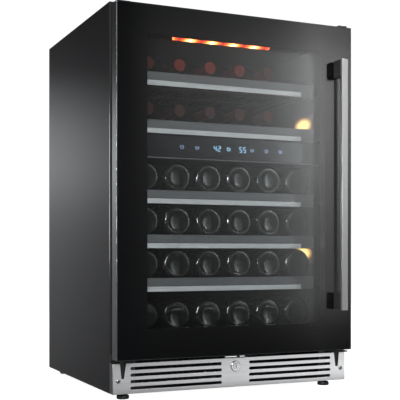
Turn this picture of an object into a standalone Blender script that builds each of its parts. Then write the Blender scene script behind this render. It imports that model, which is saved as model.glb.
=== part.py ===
"""Undercounter wine cooler with a hinged glass door, two cooling zones and sliding shelves.

Units are metres. +Z is up, the door faces -Y, and the origin lies on the floor under the middle of
the whole object. The sizes below are written in millimetres, in a working frame whose x is measured
from the middle of the cabinet, y from the door's front face towards the back, and z from the
cabinet's underside. place() moves each piece from there into the object's own frame.
"""

import math

import bmesh
import bpy
import numpy as np
from mathutils import Matrix, Vector

MM = 0.001
GAP = 0.3  # clearance between neighbouring pieces

# Cabinet
WIDTH = 595.0
HALF = WIDTH / 2
CABINET_FRONT = 51.2
CABINET_BACK = 560.5
CABINET_TOP = 860.5
SHEET = 1.2  # steel sheet of the panels
FOOT_HEIGHT = 15.4
LINER_WALL = 1.5

# Inside of the cavity
CAVITY_HALF = 250.8
CAVITY_FLOOR = 116.0
CAVITY_TOP = 812.0
CAVITY_BACK = 504.0
STEP_FRONT = 400.2  # the floor rises behind this plane, over the compressor
STEP_TOP = 263.8
BAY_FRONT = 431.7
BAY_TOP = 232.3
FOAM_BOTTOM = 86.0

# Zone divider and its touch panel
DIVIDER_FRONT = 61.0
DIVIDER_BACK = 468.0
DIVIDER_BOTTOM = 524.0
DIVIDER_TOP = 577.0
PANEL_FRONT = 57.0
PANEL_HALF = 249.0
PANEL_MARGIN = 2.0

# Lamps
CEILING_LAMP_HALF = 125.0
CEILING_LAMP_Y = 100.0
WALL_LAMP_THICKNESS = 4.0
WALL_LAMP_YS = (95.0, 185.0)
UPPER_LAMP_ZS = (612.0, 655.0)
LOWER_LAMP_ZS = (283.0, 322.0)

# Back of the cabinet
INLET_LOW = (-235.0, 546.0, 30.0)
INLET_HIGH = (-205.0, CABINET_BACK, 54.0)
INLET_WALL = 3.0
VENT_ROWS = 8
VENT_BOTTOM = 70.0
VENT_PITCH = 20.0
VENT_HEIGHT = 6.0
VENT_LENGTH = 140.0
VENT_LEFTS = (-240.0, -70.0, 100.0)

# Cooling plant
COMPRESSOR_AXIS = (120.0, 495.0)
CONDENSER_LEFT = -225.0
CONDENSER_RIGHT = -25.0
CONDENSER_FRONT = 75.0
SHROUD_FRONT = 112.0
SHROUD_BACK = 138.0
FIN_COUNT = 15
FIN_THICKNESS = 1.5
FIN_BAR = 5.0
EVAPORATOR_HALF = 150.0
EVAPORATOR_DEPTH = 14.0
UPPER_EVAPORATOR_ZS = (615.0, 790.0)
LOWER_EVAPORATOR_ZS = (295.0, 505.0)
DUCT_FRONT = 470.0
DUCT_HALF = 200.0
DUCT_WALL = 2.0
UPPER_DUCT_ZS = (600.0, 800.0)
LOWER_DUCT_ZS = (280.0, 515.0)
AIR_SLOT_COUNT = 6
AIR_SLOT_PITCH = 60.0
AIR_SLOT_LENGTH = 48.0
AIR_SLOT_HEIGHT = 5.0

# Door
DOOR_BOTTOM = 76.4
DOOR_TOP = 851.2
GLASS = 4.0
FRAME_BACK = 33.0
WINDOW_HALF = 226.5
WINDOW_BOTTOM = 142.5
WINDOW_TOP = 790.4
REBATE_HALF = 243.0
REBATE_BOTTOM = 126.0
REBATE_TOP = 807.0
REBATE_FRONT = 28.3
GASKET_INSET = 16.0
GASKET_WIDTH = 14.0

# Door hinge
HINGE_X = -283.5
HINGE_Y = 22.0
PIN_RADIUS = 4.0
BUSH_BORE = 4.3
BUSH_RADIUS = 6.6
POCKET_RADIUS = 6.9
POCKET_DEPTH = 15.0
PLATE_FRONT = 12.0
PLATE_BOTTOM = 69.5
PLATE_TOP = 72.5
PLATE_THICKNESS = 3.0
GUSSET_FOOT = 34.0

# Handle
HANDLE_LEFT = 246.5
HANDLE_RIGHT = 263.5
HANDLE_FRONT = -38.0
HANDLE_BACK = -30.5
HANDLE_BOTTOM = 174.0
HANDLE_TOP = 766.0
POST_HEIGHT = 40.0

# Shelves, by the height of each front rail's lower edge, from the top down
SHELF_HEIGHTS = (690.0, 581.2, 421.5, 319.7, 220.8)
SHELF_DEPTHS = (455.0, 455.0, 455.0, 455.0, 392.0)
RAIL_HEIGHT = 31.0
RAIL_HALF = 240.0
RAIL_FRONT = 76.0
RAIL_BACK = 82.0
TRIM_HEIGHT = 11.3
TRIM_HALF = 202.0
TRIM_FRONT = 74.2
RACK_HALF = 249.8
RACK_BOTTOM = 14.0  # above the rail's lower edge
RACK_TOP = 25.5
SLAT_COUNT = 11
SLAT_PITCH = 40.0
SLAT_WIDTH = 8.0
SLAT_THICKNESS = 6.0
RACK_BAR = 9.8
BOTTOM_RACK_HALF = 245.0
BOTTOM_RACK_YS = (85.0, 390.0)
LEDGE_INNER = 244.0
LEDGE_HEIGHT = 8.7
LEDGE_FRONT = 60.0

# Kick plate and lock
KICK_FRONT = 28.5
KICK_TOP = 67.0
SLOT_INNER = 35.0
SLOT_OUTER = 256.7
SLOT_HEIGHT = 6.8
SLOT_ROWS = (12.6, 26.9, 41.3, 55.6)
LOCK_Z = 48.3
BARREL_RADIUS = 9.5
BARREL_BORE = 6.5
CYLINDER_RADIUS = 6.2
LOCK_FLANGE_RADIUS = 12.5
LOCK_BACK = 43.0
CAM_REACH = 38.0
CAM_HALF_WIDTH = 6.0
CAM_THICKNESS = 2.0
PRONG_FRONT = 31.0
PRONG_WIDTH = 8.0
KEEPER_DEPTH = 7.0
KEEPER_HEIGHT = 12.6
SCREW_X = 285.0
SCREW_Z = 29.5

# Feet
FOOT_X = 260.6
FOOT_YS = (68.0, 531.0)
FOOT_RADIUS = 14.0
STEM_RADIUS = 5.0
STEM_TOP = 30.0

# Fans
FAN_RADIUS = 44.0
FAN_HOLE = 47.0
FAN_FRONT = 474.0
UPPER_FAN_Z = 700.0
LOWER_FAN_Z = 398.0
BLOWER_X = -125.0
BLOWER_Z = 43.0
BLOWER_FRONT = 121.0
BLOWER_RADIUS = 32.0
BLADE_COUNT = 7
BLADE_ANGLE = 28.0

# The middle of the whole object, handle included, is the origin
MIDDLE_Y = (HANDLE_FRONT + CABINET_BACK) / 2


def place(x, y, z):
    """A point of the working frame, as a point of the object's frame in metres."""
    return Vector((x, y - MIDDLE_Y, z + FOOT_HEIGHT)) * MM


# Materials


def material(name, colour, metallic, roughness):
    made = bpy.data.materials.new(name)
    made.use_nodes = True
    shader = made.node_tree.nodes["Principled BSDF"]
    shader.inputs["Base Color"].default_value = (*colour, 1.0)
    shader.inputs["Metallic"].default_value = metallic
    shader.inputs["Roughness"].default_value = roughness
    made.diffuse_color = (*colour, 1.0)
    return made


def make_materials():
    return {
        "black_paint": material("black_paint", (0.012, 0.012, 0.013), 0.0, 0.28),
        "galvanised": material("galvanised", (0.46, 0.47, 0.48), 1.0, 0.45),
        "liner": material("liner", (0.03, 0.03, 0.032), 0.0, 0.45),
        "foam": material("foam", (0.78, 0.7, 0.5), 0.0, 0.9),
        "anodised": material("anodised", (0.25, 0.25, 0.26), 1.0, 0.35),
        "glass": material("glass", (0.02, 0.02, 0.022), 0.0, 0.03),
        "gasket": material("gasket", (0.02, 0.02, 0.02), 0.0, 0.7),
        "stainless": material("stainless", (0.66, 0.66, 0.65), 1.0, 0.3),
        "black_plastic": material("black_plastic", (0.02, 0.02, 0.021), 0.0, 0.5),
        "bright_trim": material("bright_trim", (0.85, 0.86, 0.87), 1.0, 0.25),
        "rail_grey": material("rail_grey", (0.3, 0.31, 0.33), 1.0, 0.4),
        "rack_black": material("rack_black", (0.03, 0.03, 0.032), 0.2, 0.4),
        "lamp": material("lamp", (0.95, 0.55, 0.2), 0.0, 0.3),
        "fin_aluminium": material("fin_aluminium", (0.7, 0.71, 0.72), 1.0, 0.4),
        "lock_steel": material("lock_steel", (0.6, 0.6, 0.61), 1.0, 0.22),
    }


# Mesh tools


def box_solid(solids, holes=()):
    """A mesh of the boxes in solids less those in holes, each box being (low corner, high corner)."""
    cuts = []
    for axis in range(3):
        values = {round(corner[axis], 4) for box in [*solids, *holes] for corner in box}
        cuts.append(sorted(values))
    filled = np.zeros([len(values) + 1 for values in cuts], dtype=bool)
    for boxes, state in ((solids, True), (holes, False)):
        for low, high in boxes:
            spans = []
            for axis in range(3):
                first = cuts[axis].index(round(low[axis], 4)) + 1
                last = cuts[axis].index(round(high[axis], 4)) + 1
                spans.append(slice(first, last))
            filled[tuple(spans)] = state
    mesh = bmesh.new()
    corners = {}

    def corner(index):
        if index not in corners:
            corners[index] = mesh.verts.new([cuts[axis][index[axis]] for axis in range(3)])
        return corners[index]

    for axis in range(3):
        side, other = [number for number in range(3) if number != axis]
        cells = np.moveaxis(filled, axis, 0)
        behind = cells[:-1]
        ahead = cells[1:]
        for level, across, along in np.argwhere(behind != ahead):
            face = []
            for step_across, step_along in ((0, 0), (1, 0), (1, 1), (0, 1)):
                point = [0, 0, 0]
                point[axis] = level
                point[side] = across - 1 + step_across
                point[other] = along - 1 + step_along
                face.append(corner(tuple(point)))
            leaving = behind[level, across, along]
            if leaving == (axis == 1):
                face.reverse()
            mesh.faces.new(face)
    bmesh.ops.dissolve_limit(mesh, angle_limit=0.001, verts=mesh.verts[:], edges=mesh.edges[:])
    return mesh


def prism(outline, axis, low, high):
    """A mesh of a flat outline pushed along axis from low to high; its points skip that axis."""
    mesh = bmesh.new()
    rings = []
    for level in (low, high):
        ring = []
        for point in outline:
            values = list(point)
            values.insert(axis, level)
            ring.append(mesh.verts.new(values))
        rings.append(ring)
    mesh.faces.new(rings[0])
    mesh.faces.new(rings[1])
    for number in range(len(outline)):
        after = (number + 1) % len(outline)
        mesh.faces.new((rings[0][number], rings[0][after], rings[1][after], rings[1][number]))
    bmesh.ops.recalc_face_normals(mesh, faces=mesh.faces[:])
    return mesh


def turned(profile, centre, axis, segments, bored=False):
    """A mesh of (radius, place along axis) points turned about the axis line through centre."""
    mesh = bmesh.new()
    rings = []
    for radius, along in profile:
        ring = []
        for number in range(segments):
            angle = 2 * math.pi * number / segments
            values = [radius * math.cos(angle), radius * math.sin(angle)]
            point = [centre[0] + values[0], centre[1] + values[1]]
            point.insert(axis, along)
            ring.append(mesh.verts.new(point))
        rings.append(ring)
    pairs = list(zip(rings, rings[1:]))
    if bored:
        pairs.append((rings[-1], rings[0]))
    else:
        mesh.faces.new(rings[0])
        mesh.faces.new(rings[-1])
    for first, second in pairs:
        for number in range(segments):
            after = (number + 1) % segments
            mesh.faces.new((first[number], first[after], second[after], second[number]))
    bmesh.ops.recalc_face_normals(mesh, faces=mesh.faces[:])
    return mesh


def stadium(inner, outer, middle, height, steps=4):
    """The outline of a slot with round ends, as (x, z) points."""
    radius = height / 2
    points = []
    for centre, start in ((outer - radius, -0.5), (inner + radius, 0.5)):
        for number in range(steps + 1):
            angle = math.pi * (start + number / steps)
            points.append((centre + radius * math.cos(angle), middle + radius * math.sin(angle)))
    return points


def combine(first, second, operation):
    """The Boolean of two meshes, as a new mesh."""
    made = []
    for number, mesh in enumerate((first, second)):
        data = bpy.data.meshes.new("scratch")
        mesh.to_mesh(data)
        mesh.free()
        item = bpy.data.objects.new(f"scratch_{number}", data)
        bpy.context.scene.collection.objects.link(item)
        made.append(item)
    modifier = made[0].modifiers.new("combine", "BOOLEAN")
    modifier.object = made[1]
    modifier.operation = operation
    modifier.solver = "EXACT"
    graph = bpy.context.evaluated_depsgraph_get()
    data = bpy.data.meshes.new_from_object(made[0].evaluated_get(graph))
    result = bmesh.new()
    result.from_mesh(data)
    for item in made:
        bpy.data.objects.remove(item)
    return result


def cut(mesh, *tools):
    for tool in tools:
        mesh = combine(mesh, tool, "DIFFERENCE")
    return mesh


def joined(mesh, *others):
    for other in others:
        mesh = combine(mesh, other, "UNION")
    return mesh


def add(name, mesh, finish, origin=(0.0, 0.0, 0.0), parent=None, smooth=False):
    """Make a named object of a mesh in the working frame, with its origin at a point of that frame."""
    centre = Vector(origin)
    bmesh.ops.transform(mesh, matrix=Matrix.Scale(MM, 4) @ Matrix.Translation(-centre), verts=mesh.verts)
    data = bpy.data.meshes.new(name)
    mesh.to_mesh(data)
    mesh.free()
    data.materials.append(finish)
    if smooth:
        data.shade_smooth()
        data.set_sharp_from_angle(angle=math.radians(35))
    made = bpy.data.objects.new(name, data)
    bpy.context.scene.collection.objects.link(made)
    made.location = place(*origin)
    if parent is not None:
        made.parent = parent
        made.location -= parent.location
    return made


def pivot(name, x, y, z):
    """An empty on a joint's axis, for the pieces that move together."""
    made = bpy.data.objects.new(name, None)
    bpy.context.scene.collection.objects.link(made)
    made.location = place(x, y, z)
    return made


def mirrored(low, high):
    """A box on the left and the same box on the right."""
    return [
        (low, high),
        ((-high[0], low[1], low[2]), (-low[0], high[1], high[2])),
    ]


# Cabinet shell


def make_side_panels(finish):
    for name, side in (("side_panel_left", -1), ("side_panel_right", 1)):
        xs = sorted((side * HALF, side * (HALF - SHEET)))
        low = (xs[0], CABINET_FRONT, 0.0)
        high = (xs[1], CABINET_BACK, CABINET_TOP - SHEET - GAP)
        add(name, box_solid([(low, high)]), finish)


def make_top_panel(finish):
    low = (-HALF, CABINET_FRONT, CABINET_TOP - SHEET)
    high = (HALF, CABINET_BACK, CABINET_TOP)
    add("top_panel", box_solid([(low, high)]), finish)


def cavity_holes(grow):
    """The boxes of the cavity and of the space behind its step, grown by grow on every wall."""
    half = CAVITY_HALF + grow
    return [
        (
            (-half, 0.0, CAVITY_FLOOR - grow),
            (half, STEP_FRONT + grow, CAVITY_TOP + grow),
        ),
        (
            (-half, 0.0, STEP_TOP - grow),
            (half, CAVITY_BACK + grow, CAVITY_TOP + grow),
        ),
    ]


def make_inner_liner(finish):
    outer = cavity_holes(LINER_WALL)
    shell = [((low[0], CABINET_FRONT, low[2]), high) for low, high in outer]
    edge = HALF - SHEET - GAP
    flange_high = (edge, CABINET_FRONT + LINER_WALL, CABINET_TOP - SHEET - GAP)
    flange = ((-edge, CABINET_FRONT, FOAM_BOTTOM), flange_high)
    cavity = cavity_holes(0.0)
    filled = box_solid([flange, *shell], cavity)
    ledges = []
    for height, depth in zip(SHELF_HEIGHTS, SHELF_DEPTHS):
        top = height + RACK_BOTTOM - GAP
        low = (LEDGE_INNER, LEDGE_FRONT, top - LEDGE_HEIGHT)
        high = (CAVITY_HALF + LINER_WALL / 2, depth, top)
        ledges += mirrored(low, high)
    for low, high in ledges:
        filled = joined(filled, box_solid([(low, high)]))
    add("inner_liner", filled, finish)


def make_insulation_foam(finish):
    edge = HALF - SHEET - GAP
    front = CABINET_FRONT + LINER_WALL + GAP
    back = CABINET_BACK - SHEET - GAP
    block = ((-edge, front, FOAM_BOTTOM), (edge, back, CABINET_TOP - SHEET - GAP))
    bay = ((-edge, BAY_FRONT, FOAM_BOTTOM), (edge, back, BAY_TOP))
    holes = cavity_holes(LINER_WALL + GAP)
    add("insulation_foam", box_solid([block], [bay, *holes]), finish)


def make_rear_panel(finish):
    edge = HALF - SHEET - GAP
    low = (-edge, CABINET_BACK - SHEET, BAY_TOP + 0.7)
    high = (edge, CABINET_BACK, CABINET_TOP - SHEET - GAP)
    add("rear_panel", box_solid([(low, high)]), finish)


def make_bay_cover(finish):
    edge = HALF - SHEET - GAP
    front = CABINET_BACK - SHEET
    plate = ((-edge, front, 3.0), (edge, CABINET_BACK, BAY_TOP + GAP))
    hole_low = (INLET_LOW[0] - GAP, front, INLET_LOW[2] - GAP)
    hole_high = (INLET_HIGH[0] + GAP, CABINET_BACK, INLET_HIGH[2] + GAP)
    holes = [(hole_low, hole_high)]
    for row in range(VENT_ROWS):
        bottom = VENT_BOTTOM + row * VENT_PITCH
        for left in VENT_LEFTS:
            low = (left, front, bottom)
            holes.append((low, (left + VENT_LENGTH, CABINET_BACK, bottom + VENT_HEIGHT)))
    add("bay_cover", box_solid([plate], holes), finish)


def make_power_inlet(finish):
    """A mains socket, open at the back, for an appliance lead."""
    recess_low = tuple(value + INLET_WALL for value in INLET_LOW)
    recess_high = (INLET_HIGH[0] - INLET_WALL, CABINET_BACK, INLET_HIGH[2] - INLET_WALL)
    shell = box_solid([(INLET_LOW, INLET_HIGH)], [(recess_low, recess_high)])
    add("power_inlet", shell, finish)


def make_base_plate(finish):
    edge = HALF - SHEET - GAP
    front = CABINET_FRONT + GAP
    thickness = 1.5
    sheet = ((-edge, front, 0.0), (edge, CABINET_BACK - SHEET - GAP, thickness))
    ear_high = (edge, front + thickness, FOAM_BOTTOM - GAP)
    ears = mirrored((HALF - 60.0, front, thickness), ear_high)
    plate = box_solid([sheet, *ears])
    for x in (-FOOT_X, FOOT_X):
        for y in FOOT_YS:
            profile = [(STEM_RADIUS + 0.5, -2.0), (STEM_RADIUS + 0.5, 4.0)]
            plate = cut(plate, turned(profile, (x, y), 2, 16))
    add("base_plate", plate, finish)


# Cooling plant


def make_compressor(finish):
    """A domed can on a flat stand."""
    profile = [(24.0, 10.0), (44.0, 14.0), (54.0, 26.0), (55.0, 84.0), (55.0, 120.0), (48.0, 142.0)]
    profile += [(32.0, 156.0), (14.0, 161.0)]
    can = turned(profile, COMPRESSOR_AXIS, 2, 20)
    x, y = COMPRESSOR_AXIS
    stand = box_solid([((x - 75.0, y - 45.0, 4.0), (x + 75.0, y + 45.0, 12.0))])
    add("compressor", joined(can, stand), finish, smooth=True)


def finned_block(low, high):
    """Upright fins held by a bar along the bottom and another along the top."""
    pitch = (high[0] - FIN_THICKNESS - low[0]) / (FIN_COUNT - 1)
    boxes = [
        (low, (high[0], high[1], low[2] + FIN_BAR)),
        ((low[0], low[1], high[2] - FIN_BAR), high),
    ]
    for number in range(FIN_COUNT):
        left = low[0] + number * pitch
        boxes.append(((left, low[1], low[2]), (left + FIN_THICKNESS, high[1], high[2])))
    return boxes


def make_condenser(finish):
    """The finned coil behind the kick plate, with the ring that its fan turns in."""
    bottom = BLOWER_Z - 35.0
    top = BLOWER_Z + 35.0
    boxes = finned_block(
        (CONDENSER_LEFT, CONDENSER_FRONT, bottom), (CONDENSER_RIGHT, SHROUD_FRONT, top)
    )
    side = BLOWER_RADIUS + 6.0
    low = (BLOWER_X - side, SHROUD_FRONT, bottom)
    high = (BLOWER_X + side, SHROUD_BACK, top)
    body = box_solid([*boxes, (low, high)])
    ring = BLOWER_RADIUS + 1.5
    profile = [(ring, SHROUD_FRONT + 2.0), (ring, SHROUD_BACK + 2.0)]
    body = cut(body, turned(profile, (BLOWER_X, BLOWER_Z), 1, 28))
    for slot in (-20.0, 0.0, 20.0):
        low = (BLOWER_X + slot - 7.0, SHROUD_FRONT - 1.0, bottom + 12.0)
        high = (BLOWER_X + slot + 7.0, SHROUD_FRONT + 3.0, top - 12.0)
        body = cut(body, box_solid([(low, high)]))
    add("condenser", body, finish)


def make_evaporator(name, heights, finish):
    back = CAVITY_BACK - 1.0
    low = (-EVAPORATOR_HALF, back - EVAPORATOR_DEPTH, heights[0])
    high = (EVAPORATOR_HALF, back, heights[1])
    add(name, box_solid(finned_block(low, high)), finish)


def make_duct_cover(name, heights, fan_z, finish):
    """A shallow pan over an evaporator, with a round fan opening and four rows of air slots."""
    bottom, top = heights
    back = CAVITY_BACK - GAP
    inner = DUCT_FRONT + DUCT_WALL
    pan = ((-DUCT_HALF, DUCT_FRONT, bottom), (DUCT_HALF, back, top))
    inside = (
        (-DUCT_HALF + DUCT_WALL, inner, bottom + DUCT_WALL),
        (DUCT_HALF - DUCT_WALL, back, top - DUCT_WALL),
    )
    holes = [inside]
    first = -((AIR_SLOT_COUNT - 1) * AIR_SLOT_PITCH + AIR_SLOT_LENGTH) / 2
    for low in (bottom + 10.0, bottom + 22.0, top - 18.0, top - 30.0):
        for number in range(AIR_SLOT_COUNT):
            left = first + number * AIR_SLOT_PITCH
            high = (left + AIR_SLOT_LENGTH, inner, low + AIR_SLOT_HEIGHT)
            holes.append(((left, DUCT_FRONT, low), high))
    profile = [(FAN_HOLE, DUCT_FRONT - 2.0), (FAN_HOLE, inner + 1.0)]
    opening = turned(profile, (0.0, fan_z), 1, 32)
    add(name, cut(box_solid([pan], holes), opening), finish)


def make_fan(name, x, front, z, radius, finish):
    """A fan rotor: a turned hub with flat blades set at an angle to the air."""
    depth = 11.0
    profile = [(radius * 0.3, front), (radius * 0.34, front + 1.0), (radius * 0.34, front + depth)]
    rotor = turned(profile, (x, z), 1, 18)
    length = radius * 0.7
    for number in range(BLADE_COUNT):
        blade = box_solid([((-radius * 0.2, -0.8, 0.0), (radius * 0.2, 0.8, length))])
        matrix = (
            Matrix.Translation((x, front + depth / 2 + 0.4, z))
            @ Matrix.Rotation(2 * math.pi * number / BLADE_COUNT, 4, "Y")
            @ Matrix.Translation((0.0, 0.0, radius * 0.28))
            @ Matrix.Rotation(math.radians(BLADE_ANGLE), 4, "Z")
        )
        bmesh.ops.transform(blade, matrix=matrix, verts=blade.verts)
        rotor = joined(rotor, blade)
    hub = pivot(f"{name}_axis", x, front, z)
    add(name, rotor, finish, origin=(x, front, z), parent=hub)


# Inside fittings


def make_zone_divider(finish):
    low = (-CAVITY_HALF + GAP, DIVIDER_FRONT, DIVIDER_BOTTOM)
    high = (CAVITY_HALF - GAP, DIVIDER_BACK, DIVIDER_TOP)
    add("zone_divider", box_solid([(low, high)]), finish)


def make_control_panel(finish):
    low = (-PANEL_HALF, PANEL_FRONT, DIVIDER_BOTTOM + PANEL_MARGIN)
    high = (PANEL_HALF, DIVIDER_FRONT - GAP, DIVIDER_TOP - PANEL_MARGIN)
    add("control_panel", box_solid([(low, high)]), finish)


def make_ceiling_lamp(finish):
    """A long lens with bevelled lower edges, under the cavity's ceiling."""
    top = CAVITY_TOP - GAP
    outline = []
    for side in (-1, 1):
        points = [(side * 8.0, top), (side * 8.0, top - 5.0), (side * 5.0, top - 8.2)]
        points = [(CEILING_LAMP_Y + y, z) for y, z in points]
        outline += points if side < 0 else reversed(points)
    add("ceiling_lamp", prism(outline, 0, -CEILING_LAMP_HALF, CEILING_LAMP_HALF), finish)


def make_wall_lamp(name, heights, finish):
    low = (CAVITY_HALF - GAP - WALL_LAMP_THICKNESS, WALL_LAMP_YS[0], heights[0])
    high = (CAVITY_HALF - GAP, WALL_LAMP_YS[1], heights[1])
    add(name, box_solid([(low, high)]), finish)


def rack_boxes(half, front, back, bottom, top):
    """An open rack: two sides, a front and a back bar, slats on top and two bars under them."""
    slat_bottom = top - SLAT_THICKNESS
    boxes = mirrored((half - RACK_BAR, front, bottom), (half, back, top))
    boxes.append(((-half, front, bottom), (half, front + RACK_BAR, top)))
    boxes.append(((-half, back - RACK_BAR, bottom), (half, back, top)))
    for number in range(SLAT_COUNT):
        middle = (number - (SLAT_COUNT - 1) / 2) * SLAT_PITCH
        low = (middle - SLAT_WIDTH / 2, front, slat_bottom)
        boxes.append((low, (middle + SLAT_WIDTH / 2, back, top)))
    for share in (1 / 3, 2 / 3):
        middle = front + share * (back - front)
        low = (-half, middle - RACK_BAR / 2, bottom)
        boxes.append((low, (half, middle + RACK_BAR / 2, slat_bottom)))
    return boxes


def make_shelf(number, height, depth, finishes):
    """A sliding shelf: its rack, its front rail and the bright trim along the rail's foot."""
    slide = pivot(f"shelf_{number}_slide", 0.0, RAIL_FRONT, height)
    origin = (0.0, RAIL_FRONT, height)
    front = RAIL_BACK + GAP
    rack = rack_boxes(RACK_HALF, front, depth, height + RACK_BOTTOM, height + RACK_TOP)
    add(f"shelf_rack_{number}", box_solid(rack), finishes["rack_black"], origin, slide)
    rail = ((-RAIL_HALF, RAIL_FRONT, height), (RAIL_HALF, RAIL_BACK, height + RAIL_HEIGHT))
    add(f"shelf_rail_{number}", box_solid([rail]), finishes["rail_grey"], origin, slide)
    trim_high = (TRIM_HALF, RAIL_FRONT - GAP, height + TRIM_HEIGHT)
    trim = ((-TRIM_HALF, TRIM_FRONT, height), trim_high)
    add(f"shelf_trim_{number}", box_solid([trim]), finishes["bright_trim"], origin, slide)


def make_bottom_rack(finish):
    bottom = CAVITY_FLOOR + GAP
    boxes = rack_boxes(BOTTOM_RACK_HALF, *BOTTOM_RACK_YS, bottom, bottom + RACK_TOP - RACK_BOTTOM)
    add("bottom_rack", box_solid(boxes), finish)


# Door


def make_outer_glass(finish, parent):
    pane = ((-HALF, 0.0, DOOR_BOTTOM), (HALF, GLASS, DOOR_TOP))
    add("outer_glass", box_solid([pane]), finish, (HINGE_X, HINGE_Y, DOOR_BOTTOM), parent)


def make_door_frame(finish, parent):
    ring = ((-HALF, GLASS + GAP, DOOR_BOTTOM), (HALF, FRAME_BACK, DOOR_TOP))
    window = ((-WINDOW_HALF, GLASS + GAP, WINDOW_BOTTOM), (WINDOW_HALF, FRAME_BACK, WINDOW_TOP))
    rebate = ((-REBATE_HALF, REBATE_FRONT, REBATE_BOTTOM), (REBATE_HALF, FRAME_BACK, REBATE_TOP))
    keeper_low = (-CAM_HALF_WIDTH - 3.0, FRAME_BACK - KEEPER_DEPTH, DOOR_BOTTOM)
    keeper = (keeper_low, (CAM_REACH - 2.0, FRAME_BACK, DOOR_BOTTOM + KEEPER_HEIGHT))
    frame = box_solid([ring], [window, rebate, keeper])
    for low, high in (
        (DOOR_BOTTOM - 1.0, DOOR_BOTTOM + POCKET_DEPTH),
        (DOOR_TOP - POCKET_DEPTH, DOOR_TOP + 1.0),
    ):
        profile = [(POCKET_RADIUS, low), (POCKET_RADIUS, high)]
        frame = cut(frame, turned(profile, (HINGE_X, HINGE_Y), 2, 20))
    add("door_frame", frame, finish, (HINGE_X, HINGE_Y, DOOR_BOTTOM), parent)


def make_inner_glass(finish, parent):
    low = (-REBATE_HALF + GAP, REBATE_FRONT + GAP, REBATE_BOTTOM + GAP)
    high = (REBATE_HALF - GAP, REBATE_FRONT + GAP + GLASS, REBATE_TOP - GAP)
    add("inner_glass", box_solid([(low, high)]), finish, (HINGE_X, HINGE_Y, DOOR_BOTTOM), parent)


def make_door_gasket(finish, parent):
    front = FRAME_BACK + GAP
    back = CABINET_FRONT - GAP
    outer = HALF - GASKET_INSET
    inner = outer - GASKET_WIDTH
    low = DOOR_BOTTOM + GASKET_INSET
    high = DOOR_TOP - GASKET_INSET
    ring = ((-outer, front, low), (outer, back, high))
    hole = ((-inner, front, low + GASKET_WIDTH), (inner, back, high - GASKET_WIDTH))
    gasket = box_solid([ring], [hole])
    add("door_gasket", gasket, finish, (HINGE_X, HINGE_Y, DOOR_BOTTOM), parent)


def make_handle(bar_finish, post_finish, parent):
    origin = (HINGE_X, HINGE_Y, DOOR_BOTTOM)
    low = (HANDLE_LEFT, HANDLE_FRONT, HANDLE_BOTTOM)
    high = (HANDLE_RIGHT, HANDLE_BACK, HANDLE_TOP)
    add("handle_bar", box_solid([(low, high)]), bar_finish, origin, parent)
    for name, bottom in (
        ("handle_post_lower", HANDLE_BOTTOM),
        ("handle_post_upper", HANDLE_TOP - POST_HEIGHT),
    ):
        post_low = (HANDLE_LEFT + 0.5, HANDLE_BACK + GAP, bottom)
        post_high = (HANDLE_RIGHT - 0.5, -GAP, bottom + POST_HEIGHT)
        add(name, box_solid([(post_low, post_high)]), post_finish, origin, parent)


def make_hinge_bushes(finish, parent):
    origin = (HINGE_X, HINGE_Y, DOOR_BOTTOM)
    foot = PLATE_TOP + GAP
    collar = DOOR_BOTTOM - GAP
    top = DOOR_BOTTOM + POCKET_DEPTH - 0.5
    lower = [(BUSH_BORE, foot), (8.5, foot), (8.5, collar), (BUSH_RADIUS, collar)]
    lower += [(BUSH_RADIUS, top), (BUSH_BORE, top)]
    upper_low = DOOR_TOP - POCKET_DEPTH + 0.5
    upper_high = DOOR_TOP - GAP
    upper = [(BUSH_BORE, upper_low), (BUSH_RADIUS, upper_low)]
    upper += [(BUSH_RADIUS, upper_high), (BUSH_BORE, upper_high)]
    centre = (HINGE_X, HINGE_Y)
    for name, profile in (("hinge_bush_lower", lower), ("hinge_bush_upper", upper)):
        add(name, turned(profile, centre, 2, 20, bored=True), finish, origin, parent, smooth=True)


# Hinge brackets, on the cabinet


def make_top_hinge_bracket(finish):
    """A plate over the door with the upper pin, and its lip on the cabinet's front edge."""
    bottom = DOOR_TOP + 1.0
    left = HINGE_X - 10.0
    bend = CABINET_FRONT - GAP - PLATE_THICKNESS + 0.1
    plate = ((left, PLATE_FRONT, bottom), (HINGE_X + 20.0, bend, bottom + PLATE_THICKNESS))
    lip = ((left, bend, bottom), (HINGE_X + 46.0, CABINET_FRONT - GAP, bottom + 6.8))
    pin_profile = [(PIN_RADIUS, bottom - 12.0), (PIN_RADIUS, bottom + 1.5)]
    pin = turned(pin_profile, (HINGE_X, HINGE_Y), 2, 20)
    add("top_hinge_bracket", joined(box_solid([plate, lip]), pin), finish, smooth=True)


def gusset_outline(side, top):
    """The tapered outline of a lower bracket's gusset, as (x, z) points."""
    return [
        (side * (HALF - 16.6), top),
        (side * (HALF - 19.8), GUSSET_FOOT),
        (side * (HALF - 26.5), GUSSET_FOOT),
        (side * (HALF - 30.9), top),
    ]


def lower_bracket(side):
    """Plate under the door, flange on the cabinet and the tapered gusset between them."""
    near = side * (HALF - 2.0)
    far = side * (HALF - 43.0)
    xs = sorted((near, far))
    back = CABINET_FRONT - GAP
    plate = ((xs[0], PLATE_FRONT, PLATE_BOTTOM), (xs[1], back, PLATE_TOP))
    flange = ((xs[0], back - PLATE_THICKNESS, 5.0), (xs[1], back, PLATE_BOTTOM))
    outline = gusset_outline(side, PLATE_BOTTOM + 1.0)
    gusset = prism(outline, 1, KICK_FRONT + 2.5, back - 1.0)
    return joined(box_solid([plate, flange]), gusset)


def make_lower_brackets(finish):
    pin_profile = [(PIN_RADIUS, PLATE_BOTTOM + 1.0), (PIN_RADIUS, DOOR_BOTTOM + 12.0)]
    pin = turned(pin_profile, (HINGE_X, HINGE_Y), 2, 20)
    add("bottom_hinge_bracket", joined(lower_bracket(-1), pin), finish, smooth=True)
    add("spare_hinge_bracket", lower_bracket(1), finish)


# Kick plate, screws and lock


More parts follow.
